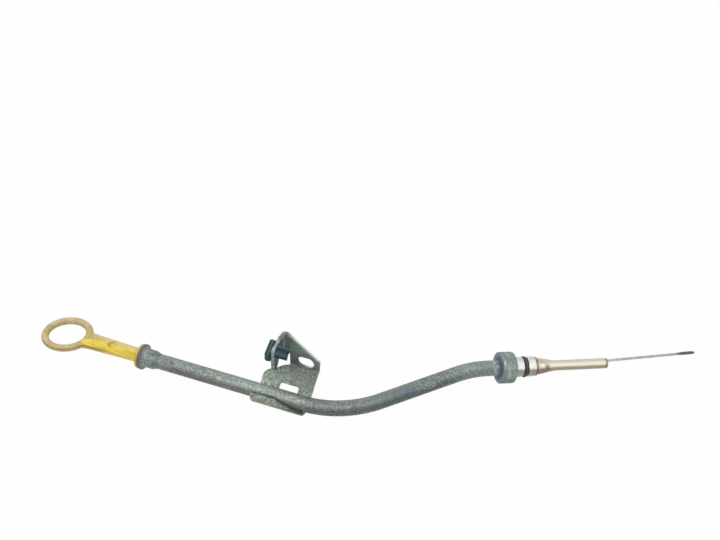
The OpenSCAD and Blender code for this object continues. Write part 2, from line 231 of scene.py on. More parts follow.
colour = nylon.mix(colour, tint("5E4A28"), 0.85 * seam)
lines = nylon.near(y, -4.4, 0.4) + nylon.near(y, -2.9, 0.3) * 0.8
lines = lines * nylon.step(x, -23.0, -14.0) * shank * top
colour = nylon.mix(colour, tint("A37C22"), 0.75 * lines)
bright_line = nylon.near(y, -3.7, 0.4) * nylon.step(x, -26.0, -16.0) * shank * top
colour = nylon.mix(colour, tint("FFF08A"), 0.6 * bright_line)
orange = nylon.near(x, -4.0, 1.4) * nylon.near(y, -3.5, 1.1) * top
colour = nylon.mix(colour, tint("A8601C"), 0.8 * orange)
past_mark = x + mark_reach / mm
from_mark = nylon.length(past_mark, y - 0.6)
mark_side = nylon.step(past_mark, 1.2, -0.8)
mark_line = nylon.near(from_mark, 2.6, 0.8) * top
colour = nylon.mix(colour, tint("B4942E"), 0.6 * top * mark_side * nylon.step(from_mark, 2.8, 2.2))
colour = nylon.mix(colour, tint("7E642A"), mark_line * (0.35 + 0.55 * mark_side))
from_ring = nylon.length(x + ring_reach / mm, y)
on_ring = nylon.step(from_ring + 2 * (blotch - 0.5), 18.2, 15.8 + 1.6 * nylon.step(y, -1.0, 3.0))
ring_colour = nylon.mix(tint("DACB9A"), tint("C6AE80"), nylon.step(blotch, 0.4, 0.62))
gold = nylon.step(grain, 0.48, 0.66) * nylon.near(from_ring, 14.6, 2.2)
ring_colour = nylon.mix(ring_colour, tint("DCC65A"), gold * (0.4 + 0.5 * nylon.step(x, -66.0, -73.0)))
rims = nylon.step(abs(from_ring - ring_middle), 1.2, 2.4)
ring_colour = nylon.mix(ring_colour, tint("9C8E74"), 0.6 * rims * nylon.step(grain, 0.3, 0.6))
inner_side = nylon.near(x, -43.0, 6.0) * nylon.step(y, 0.0, 4.0)
ring_colour = nylon.mix(ring_colour, tint("CDAE50"), 0.7 * inner_side)
colour = nylon.mix(colour, ring_colour, 0.95 * on_ring * (1 - 0.9 * nylon.step(web, 0.1, 0.5)))
specks = nylon.step(fleck, 0.66, 0.76)
colour = nylon.mix(colour, tint("6E5A34"), 0.45 * specks)
from_axis = nylon.length(y, z)
# The cap's rim is painted darker low down and paler on top: painted shade and painted light.
cap_rim = nylon.step(from_axis, 6.9, 7.6) * nylon.step(x, -2.8, -1.9)
rim_shade_and_light = nylon.mix(tint("A8893A"), tint("CDBE92"), nylon.step(z, 3.0, 7.0))
colour = nylon.mix(colour, rim_shade_and_light, 0.7 * cap_rim)
nylon.set("Base Color", colour)
nylon.set("Roughness", 0.45 + 0.2 * blotch + 0.1 * on_ring)
nylon.set("Normal", nylon.relief(grain * 0.5 + streak * 0.5 - lines * 0.5, 0.3))
handle.data.materials.append(nylon.material)
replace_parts(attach(handle, "root"), "handle")


# Guide tube: drawn steel tube, its mouth rolled into a flange and its neck widened, then bent twice in a
# bender and plated with zinc. The zinc has gone dull: mottled on top, and darker past the first bend. Its
# underside is painted darker as shade, and a painted highlight runs along its side.
tube_radius = 5.0 * mm
tube_wall = 1.2 * mm
flange_radius = 8.5 * mm
bead_radius = 1.1 * mm
neck_radius = 6.15 * mm
neck_length = 8.6 * mm
neck_taper = 4.6 * mm
flare_length = 3.0 * mm
lip_start = 97.9
lip_height = 1.8
lip_fall = 0.265
straight_1 = 115.9 * mm
roll_1 = math.radians(11.4)
bend_angle_1 = math.radians(44.6)
bend_radius_1 = 65 * mm
straight_2 = 50.5 * mm
roll_2 = math.radians(-114.6)
bend_angle_2 = math.radians(17.7)
bend_radius_2 = 70 * mm
stop_start = 7.5 * mm
stop_thickness = 9.7 * mm
tube_seat = stop_thickness - 2 * mm
upper_side_y = 0.136
upper_side_z = 0.146


def bent(start, roll, radius, angle):
    """The tube's frame after a bend that begins at start."""
    return (start @ Matrix.Rotation(roll, 4, "X") @ Matrix.Translation((0, radius, 0))
            @ Matrix.Rotation(angle, 4, "Z") @ Matrix.Translation((0, -radius, 0)))


def along(start, distance):
    """The frame at a distance from start, straight on along the tube."""
    return start @ Matrix.Translation((distance, 0, 0))


upper_leg = Matrix.Translation(mouth)
middle_leg = bent(along(upper_leg, straight_1), roll_1, bend_radius_1, bend_angle_1)
lower_leg = bent(along(middle_leg, straight_2), roll_2, bend_radius_2, bend_angle_2)


def tube_line():
    """Frames along the tube past its neck, each with its distance from the mouth. They don't roll."""
    start = neck_length + neck_taper
    line = [(along(upper_leg, d), d) for d in
            [start + (straight_1 - start) * i / 24 for i in range(25)]]
    reached = straight_1
    for leg, roll, unroll, radius, angle, after in (
            (along(upper_leg, straight_1), roll_1, -roll_1, bend_radius_1, bend_angle_1, straight_2),
            (along(middle_leg, straight_2), roll_2, -roll_1 - roll_2, bend_radius_2, bend_angle_2,
             stop_start + tube_seat)):
        level = Matrix.Rotation(unroll, 4, "X")
        steps = round(math.degrees(angle) / 1.5)
        for part in [angle * i / steps for i in range(1, steps + 1)]:
            line.append((bent(leg, roll, radius, part) @ level, reached + radius * part))
        reached += radius * angle
        end = bent(leg, roll, radius, angle)
        steps = max(2, round(after / (4 * mm)))
        line += [(along(end, after * i / steps) @ level, reached + after * i / steps)
                 for i in range(1, steps + 1)]
        reached += after
    return line


def neck_line():
    """Distance and radius of the rolled flange and the widened neck, from the face to the taper's end."""
    bead_centre = flange_radius - bead_radius
    line = [(bead_radius * (1 - math.cos(t)), bead_centre + bead_radius * math.sin(t))
            for t in [math.pi * i / 14 for i in range(11)]]
    flare_start, flare_top = line[-1]
    line += [(flare_start + flare_length * i / 8,
              neck_radius + (flare_top - neck_radius) * (1 - i / 8) ** 2.2) for i in range(1, 8)]
    line += [(neck_length * i / 8, neck_radius) for i in range(5, 8)]
    line += [(neck_length + neck_taper * i / 10,
              tube_radius + (neck_radius - tube_radius) * (1 + math.cos(math.pi * i / 10)) / 2)
             for i in range(10)]
    return line


def swept(name, stations, segments):
    """A closed skin through circles: each station is a frame, a radius and a distance."""
    shape = bmesh.new()
    straight = shape.verts.layers.float_vector.new("straight")
    first = bmesh.ops.create_circle(shape, segments=segments, radius=1.0)["verts"]
    bmesh.ops.rotate(shape, verts=first, cent=(0, 0, 0), matrix=Matrix.Rotation(math.pi / 2, 3, "Y"))
    loop = list({e for v in first for e in v.link_edges})
    opening = list(loop)
    last_place = Matrix.Identity(4)
    for i, (place, radius, distance) in enumerate(stations):
        if i:
            extruded = bmesh.ops.extrude_edge_only(shape, edges=loop)["geom"]
            loop = [e for e in extruded if isinstance(e, bmesh.types.BMEdge)]
        ring = list({v for e in loop for v in e.verts})
        new_place = place @ Matrix.Diagonal((1, radius, radius, 1))
        bmesh.ops.transform(shape, matrix=new_place @ last_place.inverted(), verts=ring)
        last_place = new_place
        unbent = along(place, -distance).inverted()
        for v in ring:
            v[straight] = unbent @ v.co
    bmesh.ops.bridge_loops(shape, edges=loop + opening)
    bmesh.ops.recalc_face_normals(shape, faces=shape.faces)
    return finished_piece(name, shape)


def finished_piece(name, shape):
    """A shape as an object, smooth but for its sharp edges."""
    for f in shape.faces:
        f.smooth = True
    for e in shape.edges:
        e.smooth = e.calc_face_angle(0) < math.radians(40)
    mesh = bpy.data.meshes.new(name)
    shape.to_mesh(mesh)
    shape.free()
    piece = bpy.data.objects.new(name, mesh)
    scene.collection.objects.link(piece)
    return piece


outside = [(along(upper_leg, d), r, d) for d, r in neck_line()]
outside += [(place, tube_radius, d) for place, d in tube_line()]
inside = [(place, tube_radius - tube_wall, d) for place, d in reversed(tube_line())]
inside += [(along(upper_leg, d), neck_radius - tube_wall, d) for d in (neck_length, 0.0)]
tube = swept("zinc_guide_tube", outside + inside, 64)

zinc = Finish("dull_zinc", metallic=0.55)
spot = zinc.own("straight")
x, y, z = zinc.split(spot)
blotch = zinc.noise(spot, 9.0, detail=4, seed=1.0)
cloud = zinc.noise(spot, 3.2, detail=4, rough=0.65, seed=2.0)
grain = zinc.noise(spot, 1.1, detail=4, rough=0.75, seed=3.0)
spangle = zinc.noise(spot, 0.85, detail=3, rough=0.6, seed=4.0)
upward = upper_side_y * y + upper_side_z * z + 0.25 * (cloud - 0.5)
uneven_x = x + 8 * (blotch - 0.5)
past_bend = zinc.step(uneven_x, straight_1 / mm - 3.9, straight_1 / mm + 10.1)
upper = (1 - past_bend) * zinc.step(x, 14.0, 26.0)
near_stop = zinc.step(x, 205.0, 228.0)
colour = zinc.mix(tint("707A7B"), tint("8C948E"), zinc.step(cloud, 0.38, 0.62))
colour = zinc.mix(colour, tint("8D9A92"), 0.6 * upper * zinc.step(x, 40.0, 80.0))
colour = zinc.mix(colour, tint("67726F"), 0.5 * past_bend * (1 - near_stop))
colour = zinc.mix(colour, tint("93A19C"), 0.6 * near_stop)
# The upper leg's underside is painted darker and browner: painted shade, with some dirt.
shaded_belly = upper * zinc.step(upward, -0.05, -0.5)
colour = zinc.mix(colour, tint("66625A"), 0.62 * shaded_belly)
# Past the first bend the underside is painted dark: painted shade.
underside_shade_past_bend = past_bend * zinc.step(upward, 0.1, -0.5) * (1 - 0.6 * near_stop)
colour = zinc.mix(colour, tint("47504F"), 0.65 * underside_shade_past_bend)
blue = zinc.near(x + 6 * (blotch - 0.5), 184.0, 15.0) * zinc.near(upward, -0.1, 0.8)
colour = zinc.mix(colour, tint("52647A"), 0.75 * blue)
calm = 0.55 * zinc.near(x, 172.0, 24.0)
# A painted highlight band along the side that faces the lamp brightens the zinc's real spangle, from
# about 22 mm on.
sheen_reach = upper * zinc.step(x + 14 * (blotch - 0.5), 22.0, 60.0)
painted_sheen = zinc.near(upward, 0.25, 0.55) * (0.15 + 0.85 * sheen_reach)
pale_spangle = zinc.step(spangle, 0.48, 0.62) * (1 - calm)
colour = zinc.mix(colour, tint("DDE3D6"), pale_spangle * (0.1 + 0.75 * painted_sheen))
pits = zinc.step(grain, 0.5, 0.38) * (1 - calm)
colour = zinc.mix(colour, tint("363C3E"), 0.65 * pits * (1 - 0.6 * painted_sheen))
colour = zinc.mix(colour, tint("B7BFBB"), 0.45 * zinc.step(grain, 0.55, 0.68) * (1 - calm))
# The lowest edge of the tube is painted paler: painted light reflected from the floor.
floor_lit_edge = zinc.step(upward, -0.72, -1.0)
colour = zinc.mix(colour, tint("A8A89C"), 0.5 * floor_lit_edge * zinc.step(spangle, 0.4, 0.6))
scratched = zinc.near(x, 197.0, 12.0) * zinc.near(upward, -0.3, 0.5)
colour = zinc.mix(colour, tint("C6D0D2"), 0.6 * scratched * zinc.step(spangle, 0.48, 0.6))
joint = zinc.step(x + 2 * (cloud - 0.5), 239.0, 243.5)
colour = zinc.mix(colour, tint("C0CCD4"), 0.65 * joint * zinc.step(grain, 0.35, 0.55))
rim = zinc.step(x, 2.3, 1.6)
colour = zinc.mix(colour, tint("535B66"), 0.8 * rim * zinc.step(cloud, 0.2, 0.5))
colour = zinc.mix(colour, tint("A9B0B6"), 0.5 * zinc.near(x, 4.2, 2.0) * zinc.step(spangle, 0.42, 0.56))
# Two small dents near the neck, raised in the bump; their dark colour is painted shade.
shaded_dents = zinc.near(x, 9.2, 1.6) * zinc.near(upward, 0.66, 0.22)
shaded_dents = shaded_dents + zinc.near(x, 13.0, 1.3) * zinc.near(upward, 0.85, 0.2)
colour = zinc.mix(colour, tint("3F484D"), 0.8 * shaded_dents)
lip = lip_height - lip_fall * zinc.at_least_zero(x - lip_start)
lip_shade = zinc.near(z - lip, 0.4, 1.1) * zinc.step(y, -1.0, -2.5) * zinc.near(x, 100.5, 19.5)
colour = zinc.mix(colour, tint("2E3640"), 0.85 * lip_shade)
zinc.set("Base Color", colour)
zinc.set("Roughness", 0.48 + 0.3 * (cloud - 0.5) + 0.1 * shaded_belly)
zinc.set("Normal", zinc.relief(grain * 0.6 + spangle * 0.4 - shaded_dents, 0.5))
tube.data.materials.append(zinc.material)
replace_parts(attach(tube, "root"), "guide_tube")


# Blade: a strip of sprung steel, rolled flat and ground, with a dark leaf at its tip where the oil level
# is read. It is moulded into the handle's plug and runs through the whole tube.
spigot_length = 14.7 * mm
taper_length = 16.7 * mm
lower_length = 34.9 * mm
tube_end = stop_start + stop_thickness + spigot_length + taper_length + lower_length
tip_height = 1 * mm
far_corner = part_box("dipstick_blade")[1]
blade_root = lower_leg @ Vector((tube_end, 0, 0))
blade_tip = Vector((far_corner.x, far_corner.y, tip_height))
blade_way = (blade_tip - blade_root).normalized()

spring_steel = Finish("sprung_steel", metallic=0.75)
spot = spring_steel.place(blade_root)
far = spring_steel.node("VectorMath", {0: spot, 1: blade_way}, out="Value", operation="DOT_PRODUCT")
grain = spring_steel.noise(spot, 1.0, detail=4, rough=0.65, seed=1.0)
cloud = spring_steel.noise(spot, 5.0, detail=3, seed=2.0)
colour = spring_steel.mix(tint("ACAEB4"), tint("CACCD1"), spring_steel.step(cloud, 0.4, 0.6))
colour = spring_steel.mix(colour, tint("8E9098"), 0.3 * spring_steel.step(far, 5.0, 40.0))
glint = spring_steel.near(far, 51.5, 1.6) * spring_steel.step(grain, 0.4, 0.5)
colour = spring_steel.mix(colour, tint("E6E6EA"), 0.5 * glint)
dark_tip = spring_steel.step(far + 2 * (grain - 0.5), 49.0, 53.0)
colour = spring_steel.mix(colour, tint("484654"), 0.95 * dark_tip)
colour = spring_steel.mix(colour, tint("6A6A72"), 0.5 * spring_steel.step(grain, 0.55, 0.72))
spring_steel.set("Base Color", colour)
spring_steel.set("Roughness", 0.35 + 0.2 * cloud)
spring_steel.set("Normal", spring_steel.relief(grain, 0.08))
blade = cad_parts["dipstick_blade"]
blade.data.materials.clear()
blade.data.materials.append(spring_steel.material)


# Mouth seal: a moulded ring of black rubber, stretched over the handle's plug. It keeps dirt out of the
# tube and is hidden inside its neck.
rubber = Finish("black_rubber", metallic=0.0)
spot = rubber.place(mouth)
grain = rubber.noise(spot, 0.7, detail=3, seed=1.0)
rubber.set("Base Color", rubber.mix(tint("26272A"), tint("45464A"), rubber.step(grain, 0.4, 0.7)))
rubber.set("Roughness", 0.55 + 0.2 * grain)
rubber.set("Normal", rubber.relief(grain, 0.06))
mouth_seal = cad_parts["mouth_seal"]
mouth_seal.data.materials.clear()
mouth_seal.data.materials.append(rubber.material)


# Bracket: one piece of steel sheet, blanked, bent round the tube and folded twice, then plated with zinc
# together with it. The cut edges are paler, and the end of the hook's lip is dark.
ear_face = 93.8
slot_x = 109.1
slot_z = 16.59
slot_radius = 3.8
slot_straight = 2.05
slope_up = 0.68
slope_out = 0.73
bracket = softened("bracket", "zinc_bracket", 0.25 * mm)

sheet_zinc = Finish("mottled_zinc_sheet", metallic=0.5)
spot = sheet_zinc.place(mouth)
x, y, z = sheet_zinc.split(spot)
facing_x, facing_y, facing_z = sheet_zinc.split(sheet_zinc.node("NewGeometry", out="Normal"))
blotch = sheet_zinc.noise(spot, 7.0, detail=4, seed=1.0)
cloud = sheet_zinc.noise(spot, 2.4, detail=4, rough=0.65, seed=2.0)
grain = sheet_zinc.noise(spot, 1.1, detail=4, rough=0.75, seed=3.0)
on_ear = sheet_zinc.step(x, ear_face + 0.6, ear_face + 0.1) * sheet_zinc.step(z, 13.0, 14.2)
on_upright = sheet_zinc.step(x, ear_face + 1.0, ear_face + 3.0) * sheet_zinc.step(z, 13.4, 14.6)
on_slope = sheet_zinc.step(z, 13.6, 12.8)
across_sheet = (on_ear * abs(facing_x) + on_upright * abs(facing_y)
                + on_slope * abs(slope_up * facing_z - slope_out * facing_y))
cut_edge = sheet_zinc.step(across_sheet, 0.6, 0.25)
colour = sheet_zinc.mix(tint("77847B"), tint("929F93"), sheet_zinc.step(cloud, 0.4, 0.62))
brown = sheet_zinc.near(x + 5 * (blotch - 0.5), 102.0, 12.0) * sheet_zinc.near(z, 11.5, 6.0)
colour = sheet_zinc.mix(colour, tint("655A52"), 0.8 * brown * sheet_zinc.step(cloud, 0.25, 0.5))
corner = sheet_zinc.near(x, 116.0, 7.0) * sheet_zinc.near(z, 10.5, 5.5)
colour = sheet_zinc.mix(colour, tint("4F5A62"), 0.75 * corner)
uneven_z = z + 3 * (blotch - 0.5)
upright = sheet_zinc.step(uneven_z, 10.0, 16.0)
colour = sheet_zinc.mix(colour, tint("66706F"), 0.75 * upright)
colour = sheet_zinc.mix(colour, tint("829287"), 0.7 * sheet_zinc.step(uneven_z, 20.0, 26.0))
bluish = sheet_zinc.near(x, ear_face + 2.6, 2.0) * upright
colour = sheet_zinc.mix(colour, tint("718087"), 0.5 * bluish)
left_of_slot = sheet_zinc.near(x, slot_x - 7.0, 4.5) * sheet_zinc.near(z, slot_z - 1.0, 4.0)
colour = sheet_zinc.mix(colour, tint("525C68"), 0.7 * left_of_slot)
right_of_slot = upright * sheet_zinc.step(x, slot_x + 5.0, slot_x + 7.0)
colour = sheet_zinc.mix(colour, tint("8A9290"), 0.5 * right_of_slot)
# The clip's shadow on the upright is painted dark.
clip_shadow = sheet_zinc.near(z, 25.6, 1.8) * sheet_zinc.step(x, ear_face + 6.0, ear_face + 4.0)
colour = sheet_zinc.mix(colour, tint("4A555C"), 0.6 * upright * clip_shadow)
plate = 1 - upright
near_fold = sheet_zinc.step(uneven_z, 5.0, 9.5) * plate
colour = sheet_zinc.mix(colour, tint("5F6862"), 0.5 * near_fold)
fine = sheet_zinc.noise(spot, 0.7, detail=3, rough=0.6, seed=4.0)
dark_specks = sheet_zinc.step(fine, 0.48, 0.38) * (1 - 0.5 * upright)
pale_specks = sheet_zinc.step(fine, 0.53, 0.64) * (1 - 0.8 * upright)
colour = sheet_zinc.mix(colour, tint("4E5A4C"), 0.7 * dark_specks)
colour = sheet_zinc.mix(colour, tint("C4D2BC"), 0.7 * pale_specks)
right_plate = sheet_zinc.step(x + 4 * (blotch - 0.5), 97.0, 105.0) * sheet_zinc.step(z, 0.5, 4.0) * plate
colour = sheet_zinc.mix(colour, tint("686A62"), 0.4 * right_plate)
low_plate = sheet_zinc.step(uneven_z, 4.0, 1.0) * sheet_zinc.step(cloud, 0.45, 0.6)
colour = sheet_zinc.mix(colour, tint("CCD8C8"), 0.65 * low_plate)
pale_grain = sheet_zinc.step(grain, 0.56, 0.7) * (1 - 0.65 * upright)
colour = sheet_zinc.mix(colour, tint("C6D0C0"), 0.6 * pale_grain)
colour = sheet_zinc.mix(colour, tint("343A38"), 0.7 * sheet_zinc.step(grain, 0.47, 0.33))
low_ear = sheet_zinc.step(z, 27.0, 20.0)
ear_cut = cut_edge * on_ear * (0.8 - 0.6 * low_ear) * (1 - 0.7 * sheet_zinc.step(y, 14.5, 17.5))
colour = sheet_zinc.mix(colour, tint("9CA8A4"), ear_cut)
ear_top_cut = cut_edge * on_ear * sheet_zinc.step(y, 14.0, 17.0)
colour = sheet_zinc.mix(colour, tint("6A726C"), 0.7 * ear_top_cut)
colour = sheet_zinc.mix(colour, tint("666C66"), 0.6 * sheet_zinc.step(z, 34.9, 35.4) * (1 - on_ear))
colour = sheet_zinc.mix(colour, tint("E2E8E2"), 0.9 * ear_cut * sheet_zinc.step(grain, 0.52, 0.62))
colour = sheet_zinc.mix(colour, tint("767E78"), 0.6 * on_ear * low_ear * (1 - cut_edge))
past_fold = sheet_zinc.step(x, ear_face + 1.0, ear_face + 9.0)
# The upward-facing cut edge of the upright is painted near white: its real pale cut with a painted
# highlight on it.
top_cut = cut_edge * on_upright * sheet_zinc.step(facing_z, 0.3, 0.6) * past_fold
colour = sheet_zinc.mix(colour, tint("F6FAF4"), 0.9 * top_cut * sheet_zinc.step(y, 18.9, 20.6))
slope_cut = cut_edge * on_slope * sheet_zinc.step(z, 2.0, 4.0)
colour = sheet_zinc.mix(colour, tint("BCC6BE"), 0.4 * slope_cut)
past_end = sheet_zinc.at_least_zero(abs(x - slot_x) - slot_straight)
from_slot = sheet_zinc.length(past_end, z - slot_z) - slot_radius
slot_wall = sheet_zinc.step(from_slot, 0.5, 0.2)
wall_light = sheet_zinc.step(x, slot_x - 3.0, slot_x + 2.0) * sheet_zinc.step(y, 19.0, 20.4)
wall_colour = sheet_zinc.mix(tint("565E5E"), tint("C4CEC4"), wall_light)
colour = sheet_zinc.mix(colour, wall_colour, 0.9 * slot_wall)
slot_rim = sheet_zinc.near(from_slot, 0.9, 0.5) * sheet_zinc.step(z, slot_z - 1.5, slot_z - 3.0)
colour = sheet_zinc.mix(colour, tint("3E4644"), 0.5 * slot_rim)
# A pale line on the inner side of the ear's fold: painted highlight.
inner_fold = sheet_zinc.near(x, ear_face + 0.65, 0.5) * sheet_zinc.step(y, 17.2, 17.8)
fold_highlight = inner_fold * sheet_zinc.step(z, 24.0, 26.0)
colour = sheet_zinc.mix(colour, tint("A9B5AE"), 0.8 * fold_highlight)
lip_end = sheet_zinc.step(z, 0.5, -2.0) * sheet_zinc.step(x, 100.0, 108.0)
colour = sheet_zinc.mix(colour, tint("4A4744"), 0.7 * lip_end)
lip_brown = sheet_zinc.step(z, 1.8, 0.5) * sheet_zinc.step(y, -3.0, -5.0)
colour = sheet_zinc.mix(colour, tint("8C887A"), 0.45 * lip_brown * (1 - lip_end))
sheet_zinc.set("Base Color", colour)
sheet_zinc.set("Roughness", 0.5 + 0.25 * (cloud - 0.5))
sheet_zinc.set("Normal", sheet_zinc.relief(grain * 0.6 + cloud * 0.4, 0.4))
bracket.data.materials.append(sheet_zinc.material)
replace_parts(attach(bracket, "root"), "bracket")


# Harness clip: a moulding in dark blue nylon, with a head, a neck and a ridged body. It is pushed through
# the hole in the bracket's ear and sits tilted there.
clip_across = 10.5 * mm
clip_up = 27.2 * mm
clip_tilt_cos = 0.86
clip_tilt_sin = 0.52
clip = softened("harness_clip", "blue_harness_clip", 0.15 * mm)
clip_middle = mouth + Vector((ear_face * mm, clip_across, clip_up))

blue = Finish("dark_blue_nylon", metallic=0.0, specular=0.25)
spot = blue.place(clip_middle)
x, y, z = blue.split(spot)
blotch = blue.noise(spot, 3.0, detail=3, seed=1.0)
grain = blue.noise(spot, 0.7, detail=3, seed=2.0)
edge = blue.step(blue.node("NewGeometry", out="Pointiness"), 0.52, 0.6)
body = blue.step(x, -0.2, 0.3)
height = clip_tilt_cos * z - clip_tilt_sin * y
along_section = clip_tilt_cos * y + clip_tilt_sin * z
colour = blue.mix(tint("33464E"), tint("465C66"), blue.step(blotch, 0.4, 0.65))
head = 1 - body
colour = blue.mix(colour, tint("5F7C86"), 0.6 * head * blue.near(x, -3.4, 0.7) * blue.step(z, -0.5, 2.5))
colour = blue.mix(colour, tint("2A3942"), 0.8 * head * blue.step(x, -4.1, -4.6))
colour = blue.mix(colour, tint("263642"), 0.7 * head * blue.step(x, -2.8, -2.6))
# The groove between the body's ridges is painted dark: painted shade.
groove = body * blue.step(height, 2.5, 2.2)
colour = blue.mix(colour, tint("182C38"), 0.85 * groove * blue.near(along_section, 0.4, 1.7))
colour = blue.mix(colour, tint("4E6474"), 0.6 * body * blue.near(along_section, -2.2, 1.3))
ridge = body * blue.step(height, 2.4, 2.8) * blue.step(along_section, 1.0, 1.5)
colour = blue.mix(colour, tint("566A74"), 0.7 * ridge)
# The body's lower face is painted dark: painted shade.
colour = blue.mix(colour, tint("2A373E"), 0.8 * body * blue.step(along_section, -3.4, -3.8))
colour = blue.mix(colour, tint("7F97A3"), 0.25 * edge)
colour = blue.mix(colour, tint("1E2E38"), 0.4 * blue.step(grain, 0.5, 0.36))
blue.set("Base Color", colour)
blue.set("Roughness", 0.45 + 0.2 * grain)
blue.set("Normal", blue.relief(grain, 0.12))
clip.data.materials.append(blue.material)
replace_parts(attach(clip, "root"), "harness_clip")


# Stop collar: turned from steel bar, brazed on the tube and plated with it. Its spigot fits the engine
# block, so it was turned bright after plating.
stop_radius = 10.1 * mm
spigot_radius = 6.35 * mm
spigot_start = stop_start + stop_thickness
spigot_end = spigot_start + spigot_length
seal_from_collar = 7.7 * mm
seal_place = spigot_start + seal_from_collar
groove_half = 1.6 * mm
groove_radius = 4.5 * mm
sleeve_radius = 4.02 * mm
bore_radius = 3.1 * mm
sleeve_length = 5 * mm
close_fit = 0.02 * mm
seat_radius = tube_radius + close_fit
braze_size = 3.1 * mm
rise_up = 0.303
rise_out = 0.953


def turned(name, outline):
    """A piece turned on the lower leg's axis: outline is its half section, as distance and radius."""
    shape = bmesh.new()
    corners = [shape.verts.new((d, 0, r)) for d, r in outline]
    edges = [shape.edges.new((corners[i - 1], corners[i])) for i in range(len(corners))]
    bmesh.ops.spin(shape, geom=corners + edges, axis=(1, 0, 0), cent=(0, 0, 0), dvec=(0, 0, 0),
                   angle=2 * math.pi, steps=96, use_merge=True)
    bmesh.ops.remove_doubles(shape, verts=shape.verts, dist=0.001 * mm)
    bmesh.ops.recalc_face_normals(shape, faces=shape.faces)
    straight = shape.verts.layers.float_vector.new("straight")
    for v in shape.verts:
        v[straight] = v.co
    bmesh.ops.transform(shape, matrix=lower_leg, verts=shape.verts)
    return finished_piece(name, shape)


def eased(distance, radius, size, rising):
    """A rounded outer corner of a half section, where it rises to the outside or falls from it."""
    way = -1 if rising else 1
    arc = [(distance - way * size * (1 - math.sin(t)), radius - size * (1 - math.cos(t)))
           for t in [math.pi / 2 * i / 6 for i in range(7)]]
    return arc[::-1] if rising else arc


braze = [(stop_start - braze_size * (1 - math.sin(t)), seat_radius + braze_size * (1 - math.cos(t)))
         for t in [math.pi / 2 * i / 8 for i in range(9)]]
collar = turned("stop_collar_turned", braze + eased(stop_start, stop_radius, 0.7 * mm, True)
                + eased(spigot_start, stop_radius, 1.3 * mm, False) + [(spigot_start, spigot_radius)]
                + eased(seal_place - groove_half, spigot_radius, 0.3 * mm, False)
                + [(seal_place - groove_half, groove_radius), (seal_place + groove_half, groove_radius)]
                + eased(seal_place + groove_half, spigot_radius, 0.3 * mm, True)
                + eased(spigot_end, spigot_radius, 0.4 * mm, False) + [
                    (spigot_end, sleeve_radius), (spigot_end - sleeve_length, sleeve_radius),
                    (spigot_end - sleeve_length, bore_radius), (stop_start + tube_seat, bore_radius),
                    (stop_start + tube_seat, seat_radius)])

collar_steel = Finish("plated_collar_and_bright_spigot", metallic=0.6)
spot = collar_steel.own("straight")
x, y, z = collar_steel.split(spot)
out = collar_steel.length(y, z)
cloud = collar_steel.noise(spot, 2.2, detail=4, rough=0.65, seed=2.0)
grain = collar_steel.noise(spot, 1.1, detail=4, rough=0.75, seed=3.0)
bright = collar_steel.step(x, spigot_start / mm - 0.1, spigot_start / mm + 0.2)
face = collar_steel.step(x, stop_start / mm + 0.6, stop_start / mm + 0.1)
colour = collar_steel.mix(tint("7C8882"), tint("98A49D"), collar_steel.step(cloud, 0.4, 0.62))
colour = collar_steel.mix(colour, tint("6C757B"), 0.85 * face)
fillet = face * collar_steel.step(out, 7.8, 6.8)
face_ring = face * collar_steel.step(out, 7.4, 8.2)
colour = collar_steel.mix(colour, tint("8A949C"), 0.55 * face_ring)
colour = collar_steel.mix(colour, tint("44525E"), 0.85 * fillet)
by_tube = face * collar_steel.step(out, 5.6, 5.1) * collar_steel.step(grain, 0.35, 0.55)
colour = collar_steel.mix(colour, tint("A8B4BA"), 0.6 * by_tube)
colour = collar_steel.mix(colour, tint("C6D0C8"), 0.55 * collar_steel.step(grain, 0.57, 0.7))
colour = collar_steel.mix(colour, tint("424C4A"), 0.55 * collar_steel.step(grain, 0.46, 0.32))
worn = collar_steel.near(x, stop_start / mm + 3.8, 1.7) * collar_steel.step(cloud, 0.42, 0.58)
colour = collar_steel.mix(colour, tint("BAC5C0"), 0.5 * worn)
rise = (rise_up * z - rise_out * y) / out
# The collar's underside is painted darker: painted shade.
collar_underside_shade = (1 - face) * collar_steel.step(rise, -0.55, -0.85)
colour = collar_steel.mix(colour, tint("5E6864"), 0.6 * collar_underside_shade)
glint = collar_steel.near(x, stop_start / mm + 0.9, 0.8) * collar_steel.near(rise, 0.35, 0.4)
colour = collar_steel.mix(colour, tint("EEF4F2"), 0.8 * glint * collar_steel.step(grain, 0.4, 0.55))
# Painted reflection: the spigot's lower half is painted dark and its top edge greyer, as a shiny cylinder
# mirrors its surroundings.
dark_reflection = collar_steel.step(rise, -0.1, -0.3) * (1 - 0.6 * collar_steel.step(rise, -0.75, -1.0))
top_reflection = collar_steel.step(rise, 0.35, 0.95)
silver = collar_steel.mix(tint("E2E2DC"), tint("FCFAF2"), collar_steel.step(cloud, 0.4, 0.6))
silver = collar_steel.mix(silver, tint("8A8B7E"), 0.85 * dark_reflection)
silver = collar_steel.mix(silver, tint("B4BCB0"), 0.7 * top_reflection)
silver = collar_steel.mix(silver, tint("4E4A3E"), 0.85 * collar_steel.step(grain, 0.64, 0.72))
end_line = collar_steel.near(x, spigot_end / mm - 0.2, 0.5)
silver = collar_steel.mix(silver, tint("554B46"), 0.85 * end_line)
colour = collar_steel.mix(colour, silver, bright)
collar_steel.set("Base Color", colour)
collar_steel.set("Metallic", 0.55 + 0.4 * bright)
collar_steel.set("Roughness", 0.5 - 0.3 * bright + 0.2 * (cloud - 0.5))
collar_steel.set("Normal", collar_steel.relief(grain * 0.6 + cloud * 0.4, 0.3))
collar.data.materials.append(collar_steel.material)
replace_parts(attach(collar, "root"), "stop_collar")


